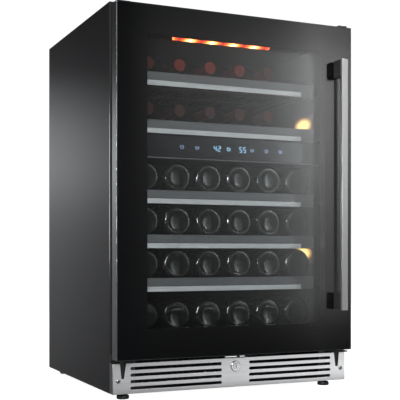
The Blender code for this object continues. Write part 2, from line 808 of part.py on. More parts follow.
def make_kick_plate(finish):
    back = KICK_FRONT + SHEET
    face = ((-HALF, KICK_FRONT, 0.5), (HALF, back, KICK_TOP))
    low = (HALF - SHEET, back, 0.5)
    returns = mirrored(low, (HALF, CABINET_FRONT - GAP, KICK_TOP))
    plate = box_solid([face, *returns])
    ends = (KICK_FRONT - 1.0, back + 1.0)
    for row in SLOT_ROWS:
        for side in (-1, 1):
            xs = sorted((side * SLOT_INNER, side * SLOT_OUTER))
            outline = stadium(xs[0], xs[1], row, SLOT_HEIGHT)
            plate = cut(plate, prism(outline, 1, *ends))
    profile = [(BARREL_RADIUS + GAP, ends[0]), (BARREL_RADIUS + GAP, ends[1])]
    plate = cut(plate, turned(profile, (0.0, LOCK_Z), 1, 28))
    for side in (-1, 1):
        notch = gusset_outline(side, KICK_TOP + 1.0)
        plate = cut(plate, prism(notch, 1, *ends))
        hole = [(2.4, ends[0]), (2.4, ends[1])]
        plate = cut(plate, turned(hole, (side * SCREW_X, SCREW_Z), 1, 12))
    add("kick_plate", plate, finish)


def make_kick_screws(finish):
    front = KICK_FRONT - GAP
    profile = [(2.4, front - 2.2), (3.8, front - 1.5), (4.4, front - 0.5), (4.4, front)]
    profile += [(2.0, front), (2.0, 37.0)]
    for name, x in (("kick_screw_left", -SCREW_X), ("kick_screw_right", SCREW_X)):
        add(name, turned(profile, (x, SCREW_Z), 1, 16), finish, smooth=True)


def make_lock(barrel_finish, cylinder_finish):
    front = KICK_FRONT - GAP
    barrel = [(BARREL_BORE, front - 2.7), (LOCK_FLANGE_RADIUS - 1.3, front - 2.7)]
    barrel += [(LOCK_FLANGE_RADIUS, front - 1.4), (LOCK_FLANGE_RADIUS, front)]
    barrel += [(BARREL_RADIUS, front), (BARREL_RADIUS, LOCK_BACK), (BARREL_BORE, LOCK_BACK)]
    centre = (0.0, LOCK_Z)
    add("lock_barrel", turned(barrel, centre, 1, 28, bored=True), barrel_finish, smooth=True)
    arm_front = LOCK_BACK + GAP
    profile = [(CYLINDER_RADIUS, front - 3.3), (CYLINDER_RADIUS, arm_front + GAP)]
    cylinder = turned(profile, centre, 1, 28)
    foot = LOCK_Z - CAM_HALF_WIDTH
    top = LOCK_Z + CAM_HALF_WIDTH
    arm = ((-7.0, arm_front, foot), (CAM_REACH, arm_front + CAM_THICKNESS, top))
    prong = ((CAM_REACH - PRONG_WIDTH, PRONG_FRONT, foot), (CAM_REACH, arm_front, top))
    spindle = pivot("lock_axis", 0.0, KICK_FRONT, LOCK_Z)
    piece = joined(cylinder, box_solid([arm, prong]))
    add("lock_cylinder", piece, cylinder_finish, (0.0, KICK_FRONT, LOCK_Z), spindle, smooth=True)


# Feet


def make_feet(finish):
    profile = [(FOOT_RADIUS - 1.0, -FOOT_HEIGHT), (FOOT_RADIUS, -FOOT_HEIGHT + 1.5)]
    profile += [(FOOT_RADIUS, -8.0), (FOOT_RADIUS - 2.0, -6.5)]
    profile += [(STEM_RADIUS, -6.5), (STEM_RADIUS, STEM_TOP)]
    for row, y in zip(("front", "rear"), FOOT_YS):
        for side, x in (("left", -FOOT_X), ("right", FOOT_X)):
            name = f"foot_{row}_{side}"
            thread = pivot(f"{name}_axis", x, y, 0.0)
            foot = turned(profile, (x, y), 2, 20)
            add(name, foot, finish, (x, y, 0.0), thread, smooth=True)


def make_cabinet(finishes):
    make_side_panels(finishes["black_paint"])
    make_top_panel(finishes["black_paint"])
    make_inner_liner(finishes["liner"])
    make_insulation_foam(finishes["foam"])
    make_rear_panel(finishes["galvanised"])
    make_bay_cover(finishes["galvanised"])
    make_power_inlet(finishes["black_plastic"])
    make_base_plate(finishes["galvanised"])
    make_top_hinge_bracket(finishes["black_paint"])
    make_lower_brackets(finishes["black_paint"])
    make_kick_plate(finishes["stainless"])
    make_kick_screws(finishes["lock_steel"])
    make_lock(finishes["lock_steel"], finishes["lock_steel"])
    make_feet(finishes["black_plastic"])


def make_plant(finishes):
    make_compressor(finishes["black_paint"])
    make_condenser(finishes["fin_aluminium"])
    make_evaporator("evaporator_upper", UPPER_EVAPORATOR_ZS, finishes["fin_aluminium"])
    make_evaporator("evaporator_lower", LOWER_EVAPORATOR_ZS, finishes["fin_aluminium"])
    make_duct_cover("duct_cover_upper", UPPER_DUCT_ZS, UPPER_FAN_Z, finishes["liner"])
    make_duct_cover("duct_cover_lower", LOWER_DUCT_ZS, LOWER_FAN_Z, finishes["liner"])
    plastic = finishes["black_plastic"]
    make_fan("fan_upper", 0.0, FAN_FRONT, UPPER_FAN_Z, FAN_RADIUS, plastic)
    make_fan("fan_lower", 0.0, FAN_FRONT, LOWER_FAN_Z, FAN_RADIUS, plastic)
    make_fan("condenser_fan", BLOWER_X, BLOWER_FRONT, BLOWER_Z, BLOWER_RADIUS, plastic)


def make_fittings(finishes):
    make_zone_divider(finishes["liner"])
    make_control_panel(finishes["glass"])
    make_ceiling_lamp(finishes["lamp"])
    make_wall_lamp("wall_lamp_upper", UPPER_LAMP_ZS, finishes["lamp"])
    make_wall_lamp("wall_lamp_lower", LOWER_LAMP_ZS, finishes["lamp"])
    make_bottom_rack(finishes["rack_black"])
    for number, (height, depth) in enumerate(zip(SHELF_HEIGHTS, SHELF_DEPTHS), start=1):
        make_shelf(number, height, depth, finishes)


def make_door(finishes):
    hinge = pivot("door_axis", HINGE_X, HINGE_Y, DOOR_BOTTOM)
    make_outer_glass(finishes["glass"], hinge)
    make_door_frame(finishes["anodised"], hinge)
    make_inner_glass(finishes["glass"], hinge)
    make_door_gasket(finishes["gasket"], hinge)
    make_handle(finishes["stainless"], finishes["black_plastic"], hinge)
    make_hinge_bushes(finishes["black_plastic"], hinge)


def main():
    for item in list(bpy.data.objects):
        bpy.data.objects.remove(item)
    finishes = make_materials()
    make_cabinet(finishes)
    make_plant(finishes)
    make_fittings(finishes)
    make_door(finishes)


main()
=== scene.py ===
"""The looks of the wine cooler: fine pieces, materials, studio and camera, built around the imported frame."""
import math

import bmesh
import bpy
from mathutils import Matrix, Vector


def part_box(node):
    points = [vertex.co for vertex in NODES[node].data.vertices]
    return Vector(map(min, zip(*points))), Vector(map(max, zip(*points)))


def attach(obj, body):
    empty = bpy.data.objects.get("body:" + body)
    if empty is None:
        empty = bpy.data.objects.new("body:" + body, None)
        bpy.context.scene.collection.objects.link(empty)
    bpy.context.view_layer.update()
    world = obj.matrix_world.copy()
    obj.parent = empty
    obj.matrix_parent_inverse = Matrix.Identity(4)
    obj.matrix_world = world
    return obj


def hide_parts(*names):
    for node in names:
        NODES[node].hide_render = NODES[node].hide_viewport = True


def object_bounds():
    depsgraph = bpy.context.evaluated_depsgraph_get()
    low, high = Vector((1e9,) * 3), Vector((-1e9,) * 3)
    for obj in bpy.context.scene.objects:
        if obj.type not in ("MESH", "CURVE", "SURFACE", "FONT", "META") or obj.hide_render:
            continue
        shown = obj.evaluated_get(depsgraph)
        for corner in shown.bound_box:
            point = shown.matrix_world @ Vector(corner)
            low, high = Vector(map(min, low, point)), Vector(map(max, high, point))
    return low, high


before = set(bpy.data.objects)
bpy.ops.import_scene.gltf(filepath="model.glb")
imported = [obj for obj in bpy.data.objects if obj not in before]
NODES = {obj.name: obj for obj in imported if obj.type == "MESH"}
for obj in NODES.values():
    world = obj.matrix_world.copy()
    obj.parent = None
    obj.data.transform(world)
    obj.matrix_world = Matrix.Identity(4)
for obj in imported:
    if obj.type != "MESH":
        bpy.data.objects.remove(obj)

MM = 0.001
CAD_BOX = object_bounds()
BLACK = (0.012, 0.012, 0.013)
WHITE = (1.0, 1.0, 1.0)
RED_GLOW = (1.0, 0.12, 0.03)
SHELVES = 5
LAMP_POINTS = 4
LAMP_PITCH = 56 * MM
SHEET = 1.2 * MM
BOTTLE_RADIUS = 36 * MM
BOTTLE_LENGTH = 296 * MM
NECK_RADIUS = 14.5 * MM


# Shader nodes


def new_material(name):
    made = bpy.data.materials.new(name)
    made.use_nodes = True
    tree = made.node_tree
    tree.nodes.clear()
    output = tree.nodes.new("ShaderNodeOutputMaterial")
    return made, tree, output


def node(tree, kind, **inputs):
    made = tree.nodes.new("ShaderNode" + kind)
    for name, value in inputs.items():
        socket = made.inputs[name.replace("_", " ")]
        if isinstance(value, bpy.types.NodeSocket):
            tree.links.new(value, socket)
        else:
            socket.default_value = value
    return made


def maths(tree, operation, first, second=0.0):
    made = tree.nodes.new("ShaderNodeMath")
    made.operation = operation
    for socket, value in zip(made.inputs, (first, second)):
        if isinstance(value, bpy.types.NodeSocket):
            tree.links.new(value, socket)
        else:
            socket.default_value = value
    return made.outputs[0]


def ramp(tree, factor, stops, smooth="LINEAR"):
    """A colour ramp; a stop is (place, colour or grey)."""
    made = node(tree, "ValToRGB", Fac=factor)
    band = made.color_ramp
    band.interpolation = smooth
    while len(band.elements) < len(stops):
        band.elements.new(1.0)
    for element, (place, colour) in zip(band.elements, stops):
        element.position = place
        if isinstance(colour, (int, float)):
            colour = (colour, colour, colour)
        element.color = (*colour, 1.0)
    return made.outputs["Color"]


def axes(tree):
    """The x, y and z of the object's own coordinates, which are the model's."""
    place = tree.nodes.new("ShaderNodeTexCoord").outputs["Object"]
    return node(tree, "SeparateXYZ", Vector=place).outputs, place


def spread(tree, value, low, high):
    """value, from 0 to 1, spread over low to high."""
    made = node(tree, "MapRange", Value=value)
    made.inputs["To Min"].default_value = low
    made.inputs["To Max"].default_value = high
    return made.outputs["Result"]


def surface(
    name,
    colour,
    roughness,
    metallic=0.0,
    grain=(300.0, 300.0, 300.0),
    bump=0.05,
    depth=0.0002,
    change=0.15,
    coat=0.0,
    specular=0.5,
):
    """A Principled material with grain: grain is its pitch along x, y and z, in cycles a metre."""
    made, tree, output = new_material(name)
    _, place = axes(tree)
    scaled = node(tree, "Mapping", Vector=place, Scale=grain).outputs[0]
    fine = node(tree, "TexNoise", Vector=scaled, Scale=1.0, Detail=4.0).outputs["Fac"]
    broad = node(tree, "TexNoise", Vector=place, Scale=7.0, Detail=3.0).outputs["Fac"]
    dark = tuple(value * (1 - change) for value in colour)
    light = tuple(min(1.0, value * (1 + change)) for value in colour)
    tint = ramp(tree, fine, [(0.3, dark), (0.7, light)])
    worn = maths(tree, "ADD", maths(tree, "MULTIPLY", fine, 0.6), maths(tree, "MULTIPLY", broad, 0.4))
    rough = spread(tree, worn, roughness * 0.8, roughness * 1.2)
    relief = node(tree, "Bump", Height=fine, Strength=bump, Distance=depth).outputs[0]
    shader = node(tree, "BsdfPrincipled", Base_Color=tint, Roughness=rough, Normal=relief)
    shader.inputs["Metallic"].default_value = metallic
    shader.inputs["Coat Weight"].default_value = coat
    shader.inputs["Coat Roughness"].default_value = 0.05
    shader.inputs["Specular IOR Level"].default_value = specular
    tree.links.new(shader.outputs[0], output.inputs[0])
    return made


def galvanised(name, dark, light):
    """Zinc-coated sheet with its spangle, between two greys."""
    made, tree, output = new_material(name)
    _, place = axes(tree)
    cells = node(tree, "TexVoronoi", Vector=place, Scale=90.0).outputs["Color"]
    grey = node(tree, "RGBToBW", Color=cells).outputs[0]
    noise = node(tree, "TexNoise", Vector=place, Scale=400.0, Detail=3.0).outputs["Fac"]
    tint = ramp(tree, grey, [(0.1, dark), (0.9, light)])
    relief = node(tree, "Bump", Height=noise, Strength=0.1, Distance=0.0002).outputs[0]
    rough = spread(tree, grey, 0.35, 0.5)
    shader = node(tree, "BsdfPrincipled", Base_Color=tint, Roughness=rough, Normal=relief)
    shader.inputs["Metallic"].default_value = 1.0
    tree.links.new(shader.outputs[0], output.inputs[0])
    return made


def door_metal():
    """Grey anodised on the door's outer skin, and black in the window's reveal and behind."""
    made, tree, output = new_material("anodised_frame")
    (x, _, z), place = axes(tree)
    low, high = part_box("door_frame")
    half = (high.z - low.z) / 2
    wide = maths(tree, "GREATER_THAN", maths(tree, "ABSOLUTE", x), high.x - 0.001)
    tall = maths(tree, "ABSOLUTE", maths(tree, "SUBTRACT", z, (low.z + high.z) / 2))
    skin = maths(tree, "MAXIMUM", wide, maths(tree, "GREATER_THAN", tall, half - 0.001))
    lines = node(tree, "Mapping", Vector=place, Scale=(60.0, 2500.0, 12.0)).outputs[0]
    fine = node(tree, "TexNoise", Vector=lines, Scale=1.0, Detail=3.0).outputs["Fac"]
    metal = ramp(tree, fine, [(0.3, (0.66, 0.665, 0.67)), (0.7, (0.76, 0.765, 0.77))])
    tint = node(tree, "MixRGB", Fac=skin, Color1=(0.006, 0.006, 0.006, 1.0), Color2=metal).outputs[0]
    relief = node(tree, "Bump", Height=fine, Strength=0.05, Distance=0.0001).outputs[0]
    shader = node(tree, "BsdfPrincipled", Base_Color=tint, Metallic=skin, Normal=relief)
    shader.inputs["Roughness"].default_value = 0.22
    tree.links.new(shader.outputs[0], output.inputs[0])
    return made


def glazing(name, tint, gloss):
    """Clear tinted glass: light goes straight through, and gloss of it is mirrored by Fresnel."""
    made, tree, output = new_material(name)
    _, place = axes(tree)
    noise = node(tree, "TexNoise", Vector=place, Scale=3.0, Detail=1.0).outputs["Fac"]
    rough = spread(tree, noise, 0.015, 0.03)
    through = node(tree, "BsdfTransparent", Color=(*tint, 1.0)).outputs[0]
    mirror = node(tree, "BsdfGlossy", Roughness=rough).outputs[0]
    angle = node(tree, "Fresnel", IOR=1.5).outputs[0]
    share = maths(tree, "MULTIPLY", angle, gloss)
    mixed = node(tree, "MixShader", Fac=share)
    tree.links.new(through, mixed.inputs[1])
    tree.links.new(mirror, mixed.inputs[2])
    tree.links.new(mixed.outputs[0], output.inputs[0])
    return made


def glowing(name, factor_of, stops, strength, base=(0.05, 0.03, 0.02)):
    """A lens that glows: factor_of gives the place on the ramp, 0 at a light's middle."""
    made, tree, output = new_material(name)
    factor = factor_of(tree)
    colour = ramp(tree, factor, stops, "EASE")
    shader = node(tree, "BsdfPrincipled", Emission_Color=colour)
    shader.inputs["Base Color"].default_value = (*base, 1.0)
    shader.inputs["Roughness"].default_value = 0.3
    shader.inputs["Emission Strength"].default_value = strength
    tree.links.new(shader.outputs[0], output.inputs[0])
    return made


def row_of_lights(tree):
    """Distance from the nearest of the ceiling lamp's four points, as a share of half their pitch."""
    (x, y, _), _ = axes(tree)
    low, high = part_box("ceiling_lamp")
    along = maths(tree, "MODULO", maths(tree, "ABSOLUTE", x), LAMP_PITCH)
    along = maths(tree, "SUBTRACT", along, LAMP_PITCH / 2)
    across = maths(tree, "SUBTRACT", y, (low.y + high.y) / 2)
    squares = maths(tree, "ADD", maths(tree, "POWER", along, 2.0), maths(tree, "POWER", across, 2.0))
    return maths(tree, "DIVIDE", maths(tree, "SQRT", squares), LAMP_PITCH / 2)


def wall_glow(node_name, height):
    """Distance from the glow's middle, which is height of the way up the lens; 1 is about the lens's edge."""

    def factor(tree):
        (_, y, z), _ = axes(tree)
        low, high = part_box(node_name)
        sides = []
        for value, first, last, share in ((y, low.y, high.y, 0.5), (z, low.z, high.z, height)):
            off = maths(tree, "SUBTRACT", value, first + share * (last - first))
            sides.append(maths(tree, "POWER", maths(tree, "DIVIDE", off, (last - first) / 2), 2.0))
        return maths(tree, "SQRT", maths(tree, "ADD", *sides))

    return factor


def bottle_glass():
    """Nearly black green glass with a hard shine."""
    made, tree, output = new_material("bottle_glass")
    _, place = axes(tree)
    noise = node(tree, "TexNoise", Vector=place, Scale=60.0, Detail=2.0).outputs["Fac"]
    tint = ramp(tree, noise, [(0.3, (0.004, 0.005, 0.004)), (0.7, (0.009, 0.012, 0.008))])
    relief = node(tree, "Bump", Height=noise, Strength=0.15, Distance=0.0006).outputs[0]
    rough = spread(tree, noise, 0.05, 0.1)
    shader = node(tree, "BsdfPrincipled", Base_Color=tint, Roughness=rough, Normal=relief)
    shader.inputs["IOR"].default_value = 1.8
    shader.inputs["Coat Weight"].default_value = 1.0
    shader.inputs["Coat Roughness"].default_value = 0.05
    tree.links.new(shader.outputs[0], output.inputs[0])
    return made


def gradient(name, across, up, strength, colour=WHITE, along=(0, 2)):
    """Light from a card whose glow follows two ramps, each over 0 to 1, along two of the axes 0, 1 and 2."""
    made, tree, output = new_material(name)
    place = tree.nodes.new("ShaderNodeTexCoord").outputs["Generated"]
    sides = node(tree, "SeparateXYZ", Vector=place).outputs
    first = ramp(tree, sides[along[0]], across, "B_SPLINE")
    second = ramp(tree, sides[along[1]], up, "B_SPLINE")
    both = maths(tree, "MULTIPLY", first, second)
    power = maths(tree, "MULTIPLY", both, strength)
    light = node(tree, "Emission", Color=(*colour, 1.0), Strength=power).outputs[0]
    tree.links.new(light, output.inputs[0])
    return made


def even(pitch):
    """Grain with the same pitch along x, y and z."""
    return (pitch, pitch, pitch)


def metal_looks():
    """The metals. Brushed ones have their grain drawn out along one axis, where its pitch is small."""
    upright = (2600.0, 2600.0, 9.0)
    return {
        "steel_x": surface("brushed_steel_level", (0.63, 0.635, 0.65), 0.34, 1.0, (9.0, 900.0, 2600.0), 0.16),
        "steel_z": surface("brushed_steel_upright", (0.39, 0.39, 0.39), 0.36, 1.0, upright, 0.16),
        "zinc": galvanised("galvanised_sheet", (0.36, 0.37, 0.38), (0.52, 0.53, 0.54)),
        # The base's zinc is darkened far below the sheet's: painted shade for the dark bay behind the kick
        # plate's slots.
        "zinc_in_painted_shade": galvanised("galvanised_base_painted_shade", (0.09, 0.092, 0.095), (0.14, 0.143, 0.147)),
        "frame": door_metal(),
        "trim": surface("bright_trim", (0.97, 0.965, 0.96), 0.28, 0.25, (7.0, 900.0, 2400.0), 0.1),
        "rail": surface("grey_rail", (0.28, 0.28, 0.285), 0.38, 0.7, (12.0, 700.0, 1500.0), 0.12),
        "fins": surface("bare_aluminium", (0.62, 0.63, 0.64), 0.36, 1.0, (900.0, 900.0, 20.0), 0.1),
        "plated": surface("plated_steel", (0.62, 0.62, 0.63), 0.17, 1.0, even(500.0), 0.04),
        "screw": surface("screw_steel", (0.34, 0.34, 0.345), 0.38, 1.0, even(500.0), 0.04),
        "capsule": surface("foil_capsule", (0.06, 0.015, 0.014), 0.34, 0.2, even(260.0), 0.3, change=0.3),
    }


def painted_looks():
    """Enamel, paint, plastic, rubber and foam, and near-black looks that paint shade: the condenser's fins and
    the recesses.
    """
    fins = (900.0, 900.0, 20.0)
    return {
        "enamel": surface("black_enamel", BLACK, 0.14, grain=even(700.0), bump=0.03, depth=0.0001),
        "paint": surface(
            "bracket_paint", (0.01, 0.01, 0.0105), 0.35, grain=even(700.0), bump=0.05, specular=0.15
        ),
        "rubber": surface(
            "seal_rubber", (0.007, 0.007, 0.0075), 0.7, grain=even(900.0), bump=0.25, specular=0.3
        ),
        "liner": surface(
            "liner_plastic", (0.012, 0.012, 0.0125), 0.4, grain=even(1300.0), bump=0.2, specular=0.25
        ),
        "plastic": surface("black_plastic", (0.016, 0.016, 0.017), 0.4, grain=even(1500.0), bump=0.2),
        "wire": surface("coated_wire", (0.007, 0.007, 0.0075), 0.4, grain=even(800.0), bump=0.15),
        # Near-black fins for the condenser: painted shade for the dark bay behind the kick plate's slots.
        "fins_in_painted_shade": surface("fins_in_painted_shade", (0.014, 0.014, 0.014), 0.5, grain=fins, bump=0.1),
        "foam": surface("rigid_foam", (0.06, 0.058, 0.05), 0.9, grain=even(500.0), bump=0.5),
        # Near black for the screw recesses and the keyway: painted shade, drawn as black blocks where there
        # are holes.
        "dark": surface("recess_painted_shade", (0.003, 0.003, 0.003), 0.7),
    }


def glass_looks():
    """The door's panes and print, the touch panel and the bottles."""
    sawn = (40.0, 900.0, 40.0)
    return {
        "glass": glazing("glass_front", (0.78, 0.79, 0.8), 1.0),
        "clear": glazing("glass_clear", (0.93, 0.94, 0.94), 0.12),
        "inner": glazing("glass_inner", (0.93, 0.94, 0.94), 0.5),
        "edge": surface("glass_edge", (0.02, 0.024, 0.023), 0.6, grain=sawn, specular=0.1),
        "print": surface("border_print", (0.004, 0.004, 0.0045), 0.5, change=0.1, specular=0.1),
        "panel": surface("panel_glass", (0.006, 0.006, 0.007), 0.07, grain=even(30.0), bump=0.01, coat=0.5),
        "bottle": bottle_glass(),
    }


# Mesh tools


def finished(name, mesh, look, body, replaced=()):
    """Turn a bmesh or data into a piece that rides on a body and stands for the CAD nodes replaced."""
    data = mesh
    if isinstance(mesh, bmesh.types.BMesh):
        data = bpy.data.meshes.new(name)
        mesh.to_mesh(data)
        mesh.free()
    for finish in look if isinstance(look, (list, tuple)) else [look]:
        data.materials.append(finish)
    made = bpy.data.objects.new(name, data)
    bpy.context.scene.collection.objects.link(made)
    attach(made, body)
    if replaced:
        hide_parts(*replaced)
    return made


def rounded(low, high, radius=0.0008, segments=3, into=None):
    """A box with its edges rounded, added to the bmesh into if one is given."""
    mesh = bmesh.new()
    bmesh.ops.create_cube(mesh, size=1.0)
    size = Vector(high) - Vector(low)
    middle = (Vector(high) + Vector(low)) / 2
    shape = Matrix.Translation(middle) @ Matrix.Diagonal((*size, 1.0))
    bmesh.ops.transform(mesh, matrix=shape, verts=mesh.verts)
    if radius:
        edges = mesh.edges[:]
        bmesh.ops.bevel(mesh, geom=edges, offset=radius, segments=segments, affect="EDGES", profile=0.5)
        mesh.normal_update()
        for face in mesh.faces:
            face.smooth = max(abs(value) for value in face.normal) < 0.9999
    return merged(mesh, into)


def merged(mesh, into):
    """Add mesh to the bmesh into, or give it back as it is."""
    if into is None:
        return mesh
    data = bpy.data.meshes.new("part")
    mesh.to_mesh(data)
    mesh.free()
    into.from_mesh(data)
    bpy.data.meshes.remove(data)
    return into


def lathe(profile, centre, axis="Y", segments=40, into=None, finish_of=None):
    """(radius, place along the axis) points turned about the axis line through centre."""
    mesh = bmesh.new()
    rings = []
    for radius, along in profile:
        if radius <= 1e-6:
            rings.append([mesh.verts.new((0.0, 0.0, along))])
            continue
        ring = []
        for number in range(segments):
            angle = 2 * math.pi * number / segments
            ring.append(mesh.verts.new((radius * math.cos(angle), radius * math.sin(angle), along)))
        rings.append(ring)
    for level, (first, second) in enumerate(zip(rings, rings[1:])):
        for number in range(segments):
            after = (number + 1) % segments
            corners = [first[number % len(first)], first[after % len(first)]]
            corners += [second[after % len(second)], second[number % len(second)]]
            face = mesh.faces.new(list(dict.fromkeys(corners)))
            face.smooth = True
            face.material_index = finish_of(level) if finish_of else 0
    for ring in (rings[0], rings[-1]):
        if len(ring) > 1:
            mesh.faces.new(ring)
    turn = {"X": Matrix.Rotation(math.pi / 2, 4, "Y"), "Y": Matrix.Rotation(-math.pi / 2, 4, "X")}
    shape = Matrix.Translation(centre) @ turn.get(axis, Matrix.Identity(4))
    bmesh.ops.transform(mesh, matrix=shape, verts=mesh.verts)
    bmesh.ops.recalc_face_normals(mesh, faces=mesh.faces[:])
    mesh.normal_update()
    for edge in mesh.edges:
        edge.smooth = len(edge.link_faces) < 2 or edge.calc_face_angle() < math.radians(40)
    return merged(mesh, into)


def wires(name, lines, radius, resolution=3):
    """Round wire along each list of points."""
    data = bpy.data.curves.new(name, "CURVE")
    data.dimensions = "3D"
    data.bevel_depth = radius
    data.bevel_resolution = resolution
    data.use_fill_caps = True
    for points in lines:
        spline = data.splines.new("POLY")
        spline.points.add(len(points) - 1)
        for point, place in zip(spline.points, points):
            point.co = (*place, 1.0)
    return data


def arc(centre, radius, first, last, count):
    """Points on a circle arc in the x and z plane, its angles in degrees."""
    made = []
    for number in range(count + 1):
        angle = math.radians(first + (last - first) * number / count)
        made.append((centre[0] + radius * math.cos(angle), centre[1] + radius * math.sin(angle)))
    return made


def flat_plate(name, outlines, front, back, edge=0.0002):
    """A sheet in the x and z plane, between front and back, with a hole for each outline after the first."""
    data = bpy.data.curves.new(name, "CURVE")
    data.dimensions = "2D"
    data.fill_mode = "BOTH"
    data.extrude = (back - front) / 2 - edge
    data.bevel_depth = edge
    data.bevel_resolution = 1
    data.offset = -edge
    for outline in outlines:
        spline = data.splines.new("POLY")
        spline.points.add(len(outline) - 1)
        spline.use_cyclic_u = True
        for point, (x, z) in zip(spline.points, outline):
            point.co = (x, z, 0.0, 1.0)
    holder = bpy.data.objects.new(name + "_curve", data)
    bpy.context.scene.collection.objects.link(holder)
    graph = bpy.context.evaluated_depsgraph_get()
    mesh = bpy.data.meshes.new_from_object(holder.evaluated_get(graph))
    bpy.data.objects.remove(holder)
    upright = Matrix.Rotation(math.pi / 2, 4, "X")
    mesh.transform(Matrix.Translation((0.0, (front + back) / 2, 0.0)) @ upright)
    return mesh


def dress(name, look, bevel=0.0):
    """Give a CAD node its finish, and soften its edges with modifiers."""
    item = NODES[name]
    item.data.materials.clear()
    item.data.materials.append(look)
    if bevel:
        weld = item.modifiers.new("weld", "WELD")
        weld.merge_threshold = 0.00001
        soft = item.modifiers.new("soften", "BEVEL")
        soft.width = bevel
        soft.segments = 2
        soft.limit_method = "ANGLE"
        soft.angle_limit = math.radians(40)


# Door


def make_door(looks):
    make_pane(looks)
    make_border(looks)
    dress("door_frame", looks["frame"], 0.0005)
    dress("inner_glass", looks["inner"])
    dress("hinge_bush_lower", looks["plastic"])
    dress("hinge_bush_upper", looks["plastic"])
    make_gasket(looks)
    make_handle(looks)
    make_plugs(looks)


def make_pane(looks):
    """The outer pane: a mirror-like front, a clear back, and a darker edge all round."""
    pane = rounded(*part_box("outer_glass"), 0.0009)
    pane.normal_update()
    for face in pane.faces:
        across = abs(face.normal.y)
        face.material_index = 0 if face.normal.y < -0.999 else 1 if across > 0.999 else 2
    finishes = [looks["glass"], looks["clear"], looks["edge"]]
    finished("glass_pane", pane, finishes, "door", ["outer_glass"])


def make_border(looks):
    """The black print on the pane's back, which leaves the window open."""
    low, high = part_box("outer_glass")
    rim = 1.2 * MM
    half_window = 226.5 * MM
    window_foot = low.z + 66.1 * MM
    window_top = high.z - 60.8 * MM
    outer = [(low.x + rim, low.z + rim), (high.x - rim, low.z + rim)]
    outer += [(high.x - rim, high.z - rim), (low.x + rim, high.z - rim)]
    inner = [(-half_window, window_foot), (half_window, window_foot)]
    inner += [(half_window, window_top), (-half_window, window_top)]
    border = flat_plate("border", [outer, inner], high.y + 0.00005, high.y + 0.00025, 0.00002)
    finished("border_print", border, looks["print"], "door")


def make_plugs(looks):
    """Two small plugs in the door's top edge, near its right corner."""
    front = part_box("outer_glass")[0].y
    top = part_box("door_frame")[1].z
    for number, middle in enumerate((271 * MM, 284 * MM), start=1):
        plug_low = (middle - 5 * MM, front + 6 * MM, top + 0.2 * MM)
        plug_high = (middle + 5 * MM, front + 20 * MM, top + 5.2 * MM)
        plug = rounded(plug_low, plug_high, 1.2 * MM)
        finished(f"door_plug_{number}", plug, looks["plastic"], "door")


def make_gasket(looks):
    """Three soft beads side by side, run round the door."""
    low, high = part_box("door_gasket")
    depth = high.y - low.y
    bead = 14 * MM
    soft = 2.2 * MM
    seal = bmesh.new()
    for share, inset in ((0.0, 0.004), (1 / 3, 0.0), (2 / 3, 0.004)):
        near = low.y + share * depth + 0.0001
        far = low.y + (share + 1 / 3) * depth - 0.0001
        width = bead - inset
        for side in (-1, 1):
            xs = sorted((side * (high.x - inset / 2), side * (high.x - inset / 2 - width)))
            rounded((xs[0], near, low.z + inset / 2), (xs[1], far, high.z - inset / 2), soft, 3, seal)
            top = high.z - inset / 2 if side > 0 else low.z + inset / 2 + width
            ends = (low.x + inset / 2 + 0.01, high.x - inset / 2 - 0.01)
            rounded((ends[0], near, top - width), (ends[1], far, top), soft, 3, seal)
    finished("gasket_bellows", seal, looks["rubber"], "door", ["door_gasket"])


def make_handle(looks):
    low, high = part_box("handle_bar")
    grip = rounded(low, high, 0.0011, 4)
    bar = finished("handle_grip", grip, looks["steel_z"], "door", ["handle_bar"])
    bar.visible_glossy = False
    for name in ("handle_post_lower", "handle_post_upper"):
        low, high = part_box(name)
        post = rounded(low, high, 0.0012, 3)
        finished(name + "_moulded", post, looks["plastic"], "door", [name])


# Cabinet


def make_cabinet(looks):
    for name in ("side_panel_left", "side_panel_right", "top_panel", "compressor"):
        dress(name, looks["enamel"], 0.0004)
    for name in ("top_hinge_bracket", "bottom_hinge_bracket", "spare_hinge_bracket"):
        dress(name, looks["paint"], 0.0005)
    for name in ("rear_panel", "bay_cover"):
        dress(name, looks["zinc"], 0.0003)
    # The base plate wears darkened zinc: painted shade for the bay seen through the kick plate's slots.
    dress("base_plate", looks["zinc_in_painted_shade"], 0.0003)
    for name in ("inner_liner", "duct_cover_upper", "duct_cover_lower", "zone_divider"):
        dress(name, looks["liner"], 0.0006)
    for name in ("evaporator_upper", "evaporator_lower"):
        dress(name, looks["fins"])
    # The condenser is dressed near black: painted shade for the bay seen through the kick plate's slots.
    dress("condenser", looks["fins_in_painted_shade"])
    for name in ("fan_upper", "fan_lower", "condenser_fan", "power_inlet"):
        dress(name, looks["plastic"], 0.0004)
    dress("insulation_foam", looks["foam"])
    make_kick_plate(looks)
    make_lock(looks)
    make_back_screws(looks)
    make_inlet_pins(looks)
    for name in ("front_left", "front_right", "rear_left", "rear_right"):
        make_foot("foot_" + name, looks)


def kick_outline(low, high):
    """The kick plate's edge, with a notch down from the top for each hinge bracket's gusset."""
    outline = [(low.x, low.z), (high.x, low.z), (high.x, high.z)]
    foot = high.z - 33 * MM
    notch = [(280.9, high.z), (277.7, foot), (271.0, foot), (266.6, high.z)]
    for side in (1, -1):
        points = [(side * x * MM, z) for x, z in notch]
        outline += points if side > 0 else points[::-1]
    outline.append((low.x, high.z))
    return outline


def kick_holes(low):
    """The round hole for the lock, and four rows of two slots."""
    lock_low, lock_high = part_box("lock_barrel")
    lock = ((lock_low.x + lock_high.x) / 2, (lock_low.z + lock_high.z) / 2)
    holes = [arc(lock, 9.8 * MM, 0, 345, 23)]
    radius = 3.4 * MM
    first_row, row_pitch = 12.1 * MM, 14.33 * MM
    for number in range(4):
        row = low.z + first_row + number * row_pitch
        for side in (-1, 1):
            ends = sorted((side * 35.0 * MM, side * 256.7 * MM))
            slot = arc((ends[1] - radius, row), radius, -90, 90, 10)
            holes.append(slot + arc((ends[0] + radius, row), radius, 90, 270, 10))
    return holes


